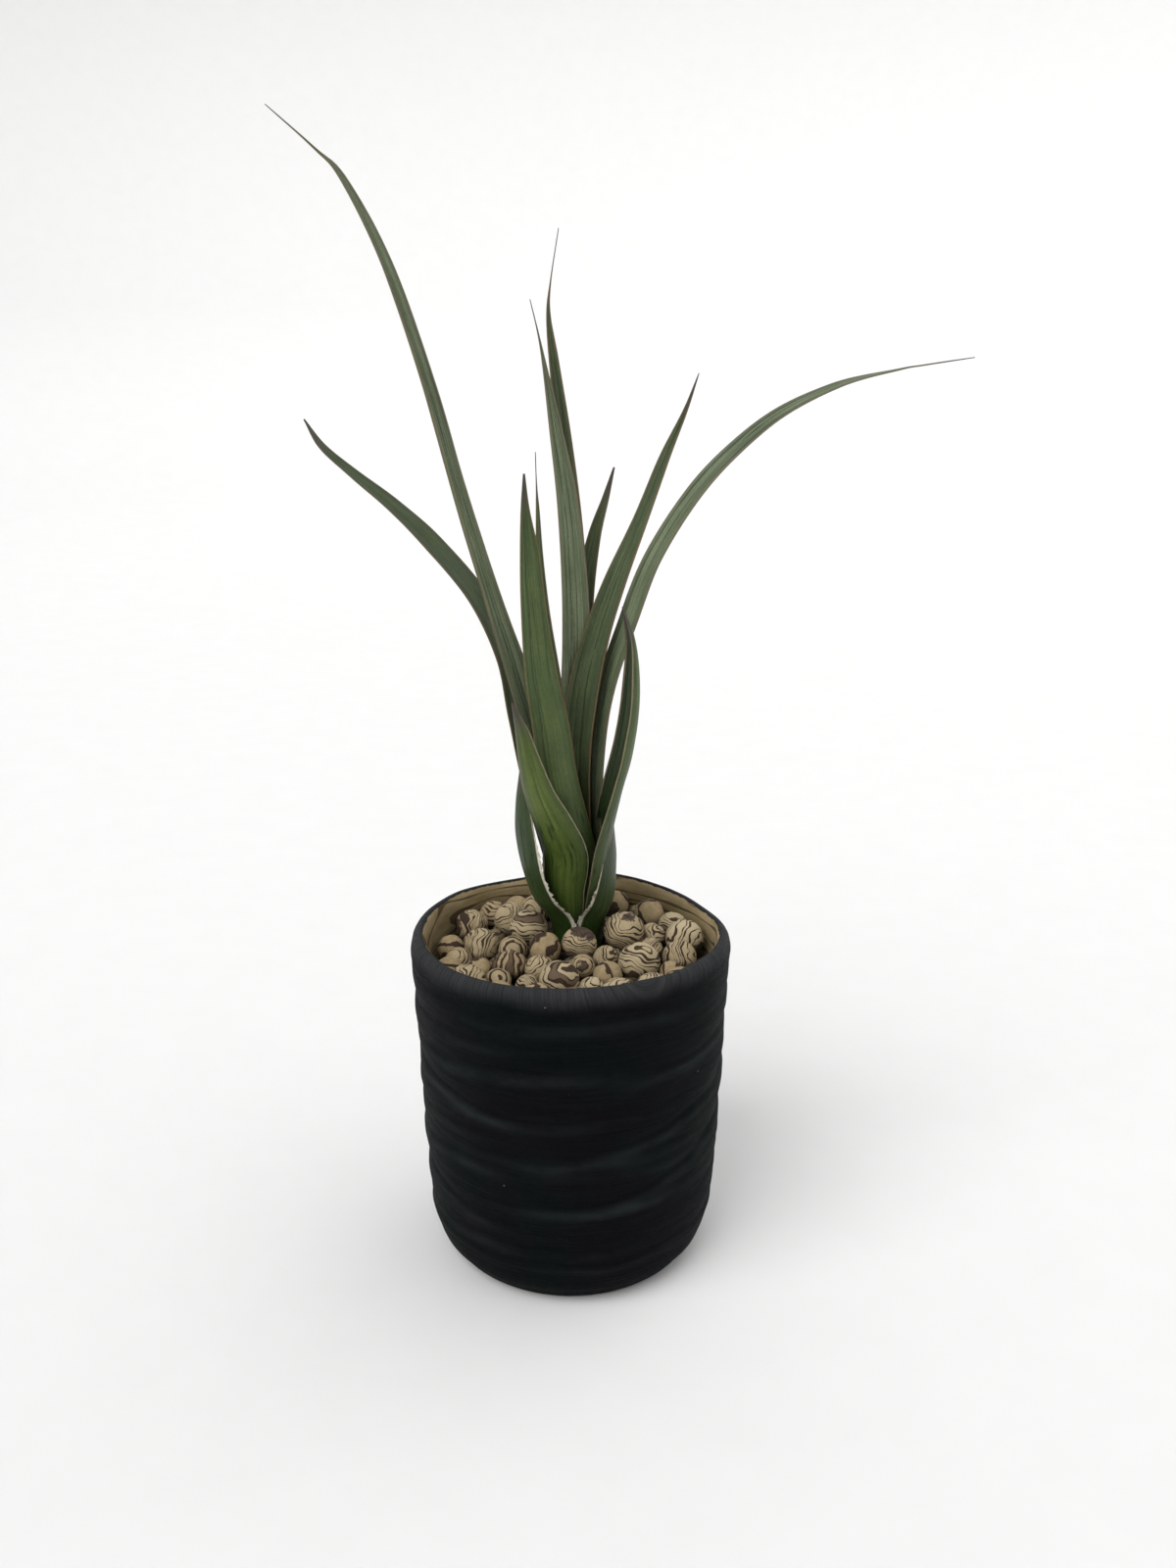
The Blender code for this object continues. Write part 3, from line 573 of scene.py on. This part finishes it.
def spun(profile, sides):
    """Solid of revolution from (radius, z) points. It is closed where they start and end on the axis."""
    bm = bmesh.new()
    verts = [bm.verts.new((radius, 0, z)) for radius, z in profile]
    edges = [bm.edges.new(pair) for pair in zip(verts, verts[1:])]
    turn = dict(axis=(0, 0, 1), cent=(0, 0, 0), angle=2 * pi)
    bmesh.ops.spin(bm, geom=verts + edges, steps=sides, use_merge=True, **turn)
    bmesh.ops.remove_doubles(bm, verts=bm.verts, dist=0.001)
    bmesh.ops.recalc_face_normals(bm, faces=bm.faces)
    return bm


def make_pot(finish):
    wall = [(radius, z) for z, radius in OUTSIDE[1:]]
    outside = in_steps([(36.0, 0.0), (37.2, 0.3)] + wall, WALL_STEP)
    inside = in_steps([LIP[-1]] + list(INSIDE), INSIDE_STEP)
    under = in_steps([(0.0, 0.6), (33.0, 0.6), (34.0, 0.0), (36.0, 0.0)], 4.0)
    floor = in_steps([INSIDE[-1], (0.0, INSIDE[-1][1])], 5.0)
    profile = under[:-1] + outside + in_steps(list(LIP), LIP_STEP)[1:] + inside[1:] + floor[1:]
    bm = spun(profile, POT_SIDES)
    measures = bm.verts.layers.float_vector.new("wall")
    strokes = bm.verts.layers.float_vector.new("strokes")
    for vert in bm.verts:
        radius, z = vert.co.xy.length, vert.co.z
        if radius < FLOOR_RADIUS:
            vert[measures] = (0.0 if z < 3 else 1.0, 0.0, 0.0)
            continue
        angle = atan2(vert.co.y, vert.co.x)
        slant = angle - 0.012 * z * sin(2 * angle + 1)
        vert[strokes] = (40 * cos(slant), 40 * sin(slant), 0.12 * (z + radius))
        is_outside = radius > read_off(OUTSIDE, z) - 0.6 and z > 0.2
        shift = out_of_round(angle, z) * smoothstep(z, 0, 10)
        crest = 0.0
        if is_outside:
            stands_out, crest = pressed_wall(angle, z)
            shift += stands_out * (1 - 0.8 * smoothstep(z, 99, 102))
        else:
            shift += 0.25 * lumps.noise(Vector((0.12 * vert.co.x, 0.12 * vert.co.y, 0.12 * z)))
        bare = smoothstep(47.0 - radius, 1.2, 3.4) if z > 101.5 else float(z > BARE_FROM and not is_outside)
        edge = z + 1.6 * lumps.noise(Vector((4 * cos(angle), 4 * sin(angle), 0)))
        lip = smoothstep(edge, 98.5, 104.5) * (1 - bare)
        vert[measures] = (bare, crest, lip)
        vert.co.xy *= (radius + shift) / radius
        pressed = smoothstep(z, 92, 104)
        rough = 0.25 * lumps.noise(Vector((3 * cos(angle), 3 * sin(angle), 5)))
        vert.co.z += pressed * (rough - rim_dip(degrees(angle)))
    keep_piece("stoneware_pot", bm, [finish], "stoneware", "pot")


# Leaves


def tier_radius(tier, z):
    foot = FOOT_RADIUS - FOOT_STEP * tier
    shoulder = SHOULDER_RADIUS - SHOULDER_STEP * tier
    return foot + (shoulder - foot) * smoothstep(z, LEAF_FOOT + 6, SHOULDER)


def leaf_rows(azimuth, tier, wrap, curl, path):
    """The sheath's own rows, which sit on their tier, then the blade's. Each row is x, y, z, half
    width and curl."""
    rows = []
    for z in SHEATH_HEIGHTS:
        if z > path[0][2] - 4:
            break
        radius = tier_radius(tier, z)
        place = PLANT_AXIS + radius * Vector((cos(radians(azimuth)), sin(radians(azimuth)), 0))
        rows.append((place.x, place.y, z, radius * sin(radians(wrap) / 2), wrap))
    top = path[-1][2]
    for x, y, z, half_width in path:
        open_up = smoothstep(z, SHOULDER - 4, SHOULDER + 0.45 * (top - SHOULDER))
        on_tier = 2 * degrees(asin(min(0.95, half_width / tier_radius(tier, z))))
        rows.append((x, y, z, half_width, on_tier + (curl - on_tier) * open_up))
    return np.array(rows, float)


def smooth_rows(rows):
    """Catmull-Rom curve through the rows, read off at even steps: (rows, millimetres along)."""
    rows = np.vstack([2 * rows[0] - rows[1], rows, 2 * rows[-1] - rows[-2]])
    fine = []
    for a, b, c, d in zip(rows, rows[1:], rows[2:], rows[3:]):
        square = 2 * a - 5 * b + 4 * c - d
        cube = 3 * b - a - 3 * c + d
        for t in np.linspace(0, 1, 16, endpoint=False):
            fine.append(0.5 * (2 * b + (c - a) * t + square * t**2 + cube * t**3))
    fine.append(rows[-2])
    fine = np.array(fine)
    steps = np.linalg.norm(np.diff(fine[:, :3], axis=0), axis=1)
    length = np.concatenate([[0], np.cumsum(steps)])
    at = np.linspace(0, length[-1], max(12, round(length[-1] / STATION)) + 1)
    return np.column_stack([np.interp(at, length, fine[:, i]) for i in range(5)]).tolist(), at.tolist()


class LeafForm:
    """Where each point of a leaf's skin lies. Points are given by row and by across, from -1 to 1."""

    def __init__(self, azimuth, tier, wrap, faces_from, curl, path, seed, crease):
        self.rows, self.at = smooth_rows(leaf_rows(azimuth, tier, wrap, curl, path))
        self.seed, self.crease = seed, crease
        self.frames = []
        centres = [Vector(row[:3]) for row in self.rows]
        for i, row in enumerate(self.rows):
            ahead = centres[min(i + 1, len(centres) - 1)]
            behind = centres[max(i - 1, 0)]
            tangent = Vector((0, 0, 1)) if i == 0 else (ahead - behind).normalized()
            opened = smoothstep(row[2], SHOULDER - 15, SHOULDER + 40)
            turn = radians(azimuth + (faces_from - azimuth) * opened)
            side = Vector((-sin(turn), cos(turn), 0))
            side = (side - side.dot(tangent) * tangent).normalized()
            self.frames.append((centres[i], side, tangent.cross(side)))

    def thickness(self, i):
        z, along = self.rows[i][2], self.at[i] / self.at[-1]
        thick = FOOT_THICKNESS + (BLADE_THICKNESS - FOOT_THICKNESS) * smoothstep(z, LEAF_FOOT, SHOULDER)
        return thick + (TIP_THICKNESS - thick) * smoothstep(along, 0.6, 1.0)

    def wave(self, i, across):
        """Slow unevenness of the margins."""
        sample = Vector((self.at[i] / 16, self.seed, 3.0 if across > 0 else 0.0))
        return 0.22 * lumps.noise(sample) * across * across * smoothstep(self.at[i], 20, 50)

    def point(self, i, across, face):
        """face is 0 for the back and 1 for the front."""
        centre, side, inward = self.frames[i]
        half_width, curl = self.rows[i][3:]
        half_angle = radians(curl) / 2
        radius = half_width / sin(half_angle)
        a = half_angle * across
        keel = 0.12 * exp(-((across / 0.10) ** 2)) * smoothstep(half_width, 1.0, 3.5)
        depth = 0.0
        if face:
            depth = min(self.thickness(i), 0.8 * radius) * (1 - 0.82 * abs(across) ** 2.6) - 2.2 * keel
        lateral = (radius - depth) * sin(a)
        lift = radius - (radius - depth) * cos(a) + self.wave(i, across) * smoothstep(half_width, 0.5, 2.5)
        if not face:
            lift -= keel
        return centre + lateral * side + lift * inward


def make_leaf(name, form, finishes):
    """One closed skin: a sheet wrapped once round the sections and sewn along the left margin."""
    last = len(form.rows) - 1
    bm = bmesh.new()
    bmesh.ops.create_grid(bm, x_segments=ROUND_SECTION, y_segments=last, size=0.5)
    blade = bm.verts.layers.float_vector.new("blade")
    reach = bm.verts.layers.float_vector.new("reach")
    for vert in bm.verts:
        round_it = vert.co.x + 0.5
        i = min(last, round((vert.co.y + 0.5) * last))
        on_front = round_it > 0.5
        t = 3 - 4 * round_it if on_front else 4 * round_it - 1
        across = sin(pi / 2 * t)
        half_width = form.rows[i][3]
        at_margin = abs(across) > AT_MARGIN
        vert[blade] = (across, form.at[i], 0.5 if at_margin else float(on_front))
        to_margin = half_width * (1 - abs(across))
        vert[reach] = (form.crease, to_margin, form.at[-1] - form.at[i])
        vert.co = form.point(i, across, round_it == 0.5 if at_margin else on_front)
    bmesh.ops.remove_doubles(bm, verts=bm.verts, dist=0.004)
    ends = [edge for edge in bm.edges if edge.is_boundary]
    bmesh.ops.holes_fill(bm, edges=ends, sides=0)
    bmesh.ops.recalc_face_normals(bm, faces=bm.faces)
    for leaf, margin, first, last_mm, width in PAPER_EDGES:
        if leaf == name:
            add_paper_edge(bm, form, margin, first, last_mm, width)
    keep_piece(name + "_leaf", bm, finishes, SLOTS[LEAVES[name][5]], "leaf_" + name)


def add_paper_edge(bm, form, margin, first, last_mm, width):
    """A torn papery strip that curls off the margin."""
    rows = [i for i, at in enumerate(form.at) if first <= at <= last_mm]
    strip = bmesh.new()
    bmesh.ops.create_grid(strip, x_segments=5, y_segments=(len(rows) - 1) * 3, size=0.5)
    for vert in strip.verts:
        along = (vert.co.y + 0.5) * (len(rows) - 1)
        low = min(int(along), len(rows) - 2)
        out = vert.co.x + 0.5
        tear = 0.55 + 0.6 * lumps.noise(Vector((along * 1.1, form.seed, 1)))
        tear += 0.35 * lumps.noise(Vector((along * 3.7, form.seed, 2)))
        ends = smoothstep(along, 0, 2) * smoothstep(len(rows) - 1 - along, 0, 5)
        reach = width * max(0.15, tear) * ends
        place = form.point(rows[low], margin, 0).lerp(form.point(rows[low + 1], margin, 0), along - low)
        centre, side, inward = form.frames[rows[low]]
        half_angle = radians(form.rows[rows[low]][4]) / 2
        onward = cos(half_angle) * side * margin + sin(half_angle) * inward
        off = -cos(half_angle) * inward + sin(half_angle) * side * margin
        curl = 0.5 + 0.5 * lumps.noise(Vector((along * 0.6, form.seed, 7)))
        vert.co = place + reach * out * onward + reach * curl * out * out * off - 0.25 * (1 - out) * onward
    bmesh.ops.solidify(strip, geom=strip.verts[:] + strip.edges[:] + strip.faces[:], thickness=0.1)
    bmesh.ops.recalc_face_normals(strip, faces=strip.faces)
    for face in strip.faces:
        face.material_index = 1
    scrap = bpy.data.meshes.new("paper_strip")
    strip.to_mesh(scrap)
    strip.free()
    bm.from_mesh(scrap)
    bpy.data.meshes.remove(scrap)


SLOTS = {
    "sheath_leaf": "leaf_old", "old_leaf": "leaf_old", "folded_leaf": "leaf_mid",
    "grown_leaf": "leaf_mid", "fresh_leaf": "leaf_mid", "pale_leaf": "leaf_young",
}


# Clay balls and what lies under them

# how a ball is layered: (layers, share of dark layers, waviness, pallor)
LOOKS = {
    "striped": (5.0, 0.07, 1.15, 0.60), "bold": (3.8, 0.15, 1.25, 0.80), "banded": (3.2, 0.28, 1.0, 0.30),
    "plain": (1.0, 0.0, 0.6, 0.20), "pale": (3.8, 0.04, 1.1, 1.0), "ringed": (3.6, 0.08, 0.35, 0.45),
}

# the balls in sight: look, azimuth and elevation of the axis across its layers, and where along that
# axis, from -1 to 1, a dark cap starts (2 is none)
BALLS = {
    1: ("striped", 205, 15, 0.85), 2: ("banded", 40, 50, 2), 3: ("plain", 0, 90, 2),
    4: ("striped", 220, 45, 2), 5: ("bold", 80, 82, 0.93), 6: ("striped", 185, 12, 2),
    7: ("ringed", 272, 26, 2), 8: ("plain", 150, 20, 2), 9: ("plain", 90, 40, 2),
    10: ("ringed", 235, 40, 2), 11: ("plain", 200, 70, 2), 12: ("ringed", 280, 48, 2),
    13: ("banded", 178, 4, 2), 14: ("striped", 195, 42, 2), 15: ("striped", 20, 30, 2),
    16: ("bold", 325, 52, 2), 17: ("pale", 330, 40, 2), 18: ("ringed", 268, 30, 0.88),
    19: ("striped", 350, 74, 0.66), 20: ("striped", 345, 48, 2), 21: ("plain", 30, 10, 2),
    22: ("bold", 20, 62, 2), 23: ("striped", 330, 66, 0.9), 24: ("striped", 340, 60, 2),
    25: ("plain", 245, 5, 0.9), 26: ("striped", 10, 40, 2), 27: ("plain", 290, 35, 2),
    28: ("bold", 60, 75, 2), 29: ("pale", 320, -20, 0.85), 30: ("striped", 350, 8, 2),
    31: ("plain", 0, 0, 2), 32: ("striped", 160, 35, 2),
}
JAGGED = (1, 6, 13)


def facing(azimuth, elevation):
    level = cos(radians(elevation))
    return Vector((level * cos(radians(azimuth)), level * sin(radians(azimuth)), sin(radians(elevation))))


def add_ball(bm, centre, radius, random, make, steps, jagged=False, painted_shade=0.0):
    """A hand-rolled ball: a little out of round, with its layers square to its axis."""
    look, azimuth, elevation, cap = make
    layers, dark_share, waviness, pallor = LOOKS[look]
    clay, recipe, tone = (bm.verts.layers.float_vector[name] for name in ("clay", "recipe", "tone"))
    axis = facing(azimuth, elevation)
    turn = axis.rotation_difference(Vector((0, 0, 1))).to_matrix()
    shift = Vector([random.uniform(-40, 40) for _ in range(3)])
    squash = Vector([random.uniform(0.95, 1.03) for _ in range(3)])
    lump = 0.10 if jagged else 0.045
    made = bmesh.ops.create_icosphere(bm, subdivisions=steps, radius=1.0)
    for vert in made["verts"]:
        out = vert.co.copy()
        swell = 1 + lump * lumps.noise(out * 1.5 + shift) + 0.4 * lump * lumps.noise(out * 4 + shift)
        if jagged:
            swell += 0.05 * abs(lumps.noise(turn @ out * 2 + shift)) * cos(9 * out.dot(axis))
        vert[clay] = turn @ out + shift
        vert[recipe] = (layers, dark_share, waviness)
        # the third value is painted shade, growing towards the ball's underside
        vert[tone] = (pallor, out.dot(axis) - cap, painted_shade + (1 - painted_shade) * 0.8 * smoothstep(-out.z, -0.3, 0.7))
        vert.co = centre + radius * swell * out * squash


def ball_mesh():
    bm = bmesh.new()
    for name in ("clay", "recipe", "tone"):
        bm.verts.layers.float_vector.new(name)
    return bm


def any_make(random):
    look = random.choice(("striped", "striped", "bold", "banded", "plain", "pale", "ringed"))
    return look, random.uniform(0, 360), random.uniform(-30, 80), 2


def ball_place(number):
    low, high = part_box(f"clay_ball_{number:02d}")
    return (low + high) / 2 / MM, (high.z - low.z) / 2 / MM


def make_balls(finish):
    for number in range(1, CLAY_BALLS + 1):
        random = Random(900 + number)
        centre, radius = ball_place(number)
        bm = ball_mesh()
        make = BALLS[number] if number in BALLS else any_make(random)
        add_ball(bm, centre, radius * BALL_SWELL, random, make, 5, number in JAGGED)
        keep_piece(f"marbled_ball_{number:02d}", bm, [finish], "clay", f"clay_ball_{number:02d}")


def make_lower_balls(finish):
    """Smaller balls of the layer below, seen through the gaps."""
    random = Random(31)
    placed = [ball_place(number) for number in range(1, CLAY_BALLS + 1)]
    bm = ball_mesh()
    for _ in range(LOWER_BALL_TRIES):
        angle, reach = random.uniform(0, 2 * pi), LOWER_BALL_REACH * random.random() ** 0.5
        radius = random.uniform(3.0, 4.6)
        height = LOWER_BALL_HEIGHT + random.uniform(-1.2, 1.6)
        centre = Vector((reach * cos(angle), reach * sin(angle), height))
        if (centre - PLANT_AXIS).xy.length < PLANT_GIRTH + radius:
            continue
        if all((centre - other).length > 0.86 * (radius + size) for other, size in placed):
            placed.append((centre, radius))
            # the lower layer is darkened with painted shade, as if in the gaps' shadow
            add_ball(bm, centre, radius, random, any_make(random), 4, painted_shade=0.6)
    keep_piece("lower_balls", bm, [finish], "clay")


def make_crumbs(finish):
    """Grains of the mix lying loose between the balls."""
    random = Random(77)
    bm = bmesh.new()
    for _ in range(CRUMBS):
        angle, reach = random.uniform(0, 2 * pi), CRUMB_REACH * random.random() ** 0.5
        size = random.uniform(0.5, 1.5)
        x, y = reach * cos(angle), reach * sin(angle)
        near_plant = (Vector((x, y)) - PLANT_AXIS.xy).length
        z = MIX_EDGE + MIX_RISE * (1 - smoothstep(near_plant, 8, 34)) + 0.3 * size
        made = bmesh.ops.create_icosphere(bm, subdivisions=1, radius=size)
        for vert in made["verts"]:
            vert.co *= 1 + 0.5 * lumps.noise(vert.co * 2 + Vector((x, y, 0)))
            vert.co += Vector((x, y, z))
    keep_piece("mix_crumbs", bm, [finish], "soil")


# Studio

# the floor sweeps up into a backdrop all round: (radius, z)
SWEEP = ((0.0, 0.0), (900.0, 0.0), (1500.0, 40.0), (1900.0, 260.0), (2150.0, 700.0), (2250.0, 1500.0))
DAYLIGHT = 0.42
# name: where the light comes from, its strength, and how many degrees across it is
SOFTBOXES = {
    "key_light": ((-0.45, -0.50, 0.75), 2.0, 45),
    "fill_light": ((0.60, 0.10, 0.80), 0.8, 70),
    "back_light": ((0.10, 0.70, 0.50), 0.45, 80),
}
SENSOR_WIDTH, LENS = 36.0, 33.75
CAMERA_PLACE, LOOKS_DOWN = (0.0053, -0.407, 0.2892), 18.8


def make_studio():
    bm = spun(SWEEP, 96)
    bmesh.ops.scale(bm, vec=(MM, MM, MM), verts=bm.verts)
    bmesh.ops.reverse_faces(bm, faces=bm.faces)
    mesh = bpy.data.meshes.new("studio_floor")
    bm.to_mesh(mesh)
    bm.free()
    mesh.shade_smooth()
    mesh.materials.append(studio_paper())
    floor = bpy.data.objects.new("studio_floor", mesh)
    bpy.context.scene.collection.objects.link(floor)
    world = bpy.data.worlds.new("soft_daylight")
    world.use_nodes = True
    background = world.node_tree.nodes["Background"]
    background.inputs["Color"].default_value = (1.0, 1.0, 1.0, 1)
    background.inputs["Strength"].default_value = DAYLIGHT
    bpy.context.scene.world = world
    for name, (towards, strength, spread) in SOFTBOXES.items():
        softbox(name, towards, strength, spread)


def softbox(name, towards, strength, spread):
    """Broad even light that comes from this direction."""
    lamp = bpy.data.lights.new(name, "SUN")
    lamp.energy = strength
    lamp.angle = radians(spread)
    lit = bpy.data.objects.new(name, lamp)
    lit.rotation_euler = Vector(towards).to_track_quat("Z", "Y").to_euler()
    bpy.context.scene.collection.objects.link(lit)


def make_camera():
    lens = bpy.data.cameras.new("studio_camera")
    lens.sensor_width = SENSOR_WIDTH
    lens.lens = LENS
    lens.clip_start = 0.01
    camera = bpy.data.objects.new("studio_camera", lens)
    camera.location = CAMERA_PLACE
    camera.rotation_euler = (radians(90 - LOOKS_DOWN), 0, 0)
    bpy.context.scene.collection.objects.link(camera)
    bpy.context.scene.camera = camera


def main():
    make_camera()
    make_studio()
    bpy.context.scene.view_settings.view_transform = "Standard"
    layered_clay = layered_clay_group()
    markings = leaf_markings_group()
    make_pot(black_stoneware(layered_clay))
    clay = marbled_clay(layered_clay)
    make_balls(clay)
    make_lower_balls(clay)
    soil = potting_mix_finish()
    make_crumbs(soil)
    for node, finish in (("potting_mix", soil), ("crown", crown_finish())):
        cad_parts[node].data.materials.clear()
        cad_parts[node].data.materials.append(finish)
    tan, paper = (0.190, 0.130, 0.070), papery_skin()
    skins = {
        "sheath_leaf": leaf_skin(
            "sheath_leaf", markings, ((0.034, 0.060, 0.017), (0.072, 0.112, 0.034)),
            ((0.045, 0.068, 0.028), (0.085, 0.112, 0.048)), (0.480, 0.440, 0.340), 3.0, 0.44,
        ),
        "old_leaf": leaf_skin(
            "old_leaf", markings, ((0.056, 0.088, 0.030), (0.102, 0.142, 0.052)),
            ((0.050, 0.074, 0.031), (0.095, 0.122, 0.055)), tan, 7.0, 0.46,
        ),
        "grown_leaf": leaf_skin(
            "grown_leaf", markings, ((0.070, 0.104, 0.036), (0.125, 0.168, 0.066)),
            ((0.070, 0.096, 0.043), (0.130, 0.162, 0.083)), tan, 11.0, 0.48,
        ),
        # its front colours are much darker: painted shade on the inside of the fold
        "folded_leaf": leaf_skin(
            "folded_leaf", markings, ((0.074, 0.108, 0.040), (0.132, 0.174, 0.072)),
            ((0.022, 0.038, 0.015), (0.050, 0.074, 0.030)), (0.240, 0.200, 0.130), 15.0, 0.46, 0.3,
        ),
        "fresh_leaf": leaf_skin(
            "fresh_leaf", markings, ((0.092, 0.134, 0.033), (0.180, 0.232, 0.070)),
            ((0.070, 0.095, 0.045), (0.120, 0.150, 0.080)), (0.360, 0.320, 0.220), 19.0, 0.42, 0.85,
        ),
        "pale_leaf": leaf_skin(
            "pale_leaf", markings, ((0.096, 0.130, 0.060), (0.158, 0.198, 0.104)),
            ((0.150, 0.184, 0.108), (0.260, 0.300, 0.195)), (0.200, 0.165, 0.105), 27.0, 0.5,
        ),
    }
    for seed, (name, (azimuth, tier, wrap, faces_from, curl, skin, path)) in enumerate(LEAVES.items()):
        crease = CREASED.get(name, NO_CREASE)
        form = LeafForm(azimuth, tier, wrap, faces_from, curl, path, 10.0 * seed, crease)
        make_leaf(name, form, [skins[skin], paper])


main()
bpy.context.view_layer.update()
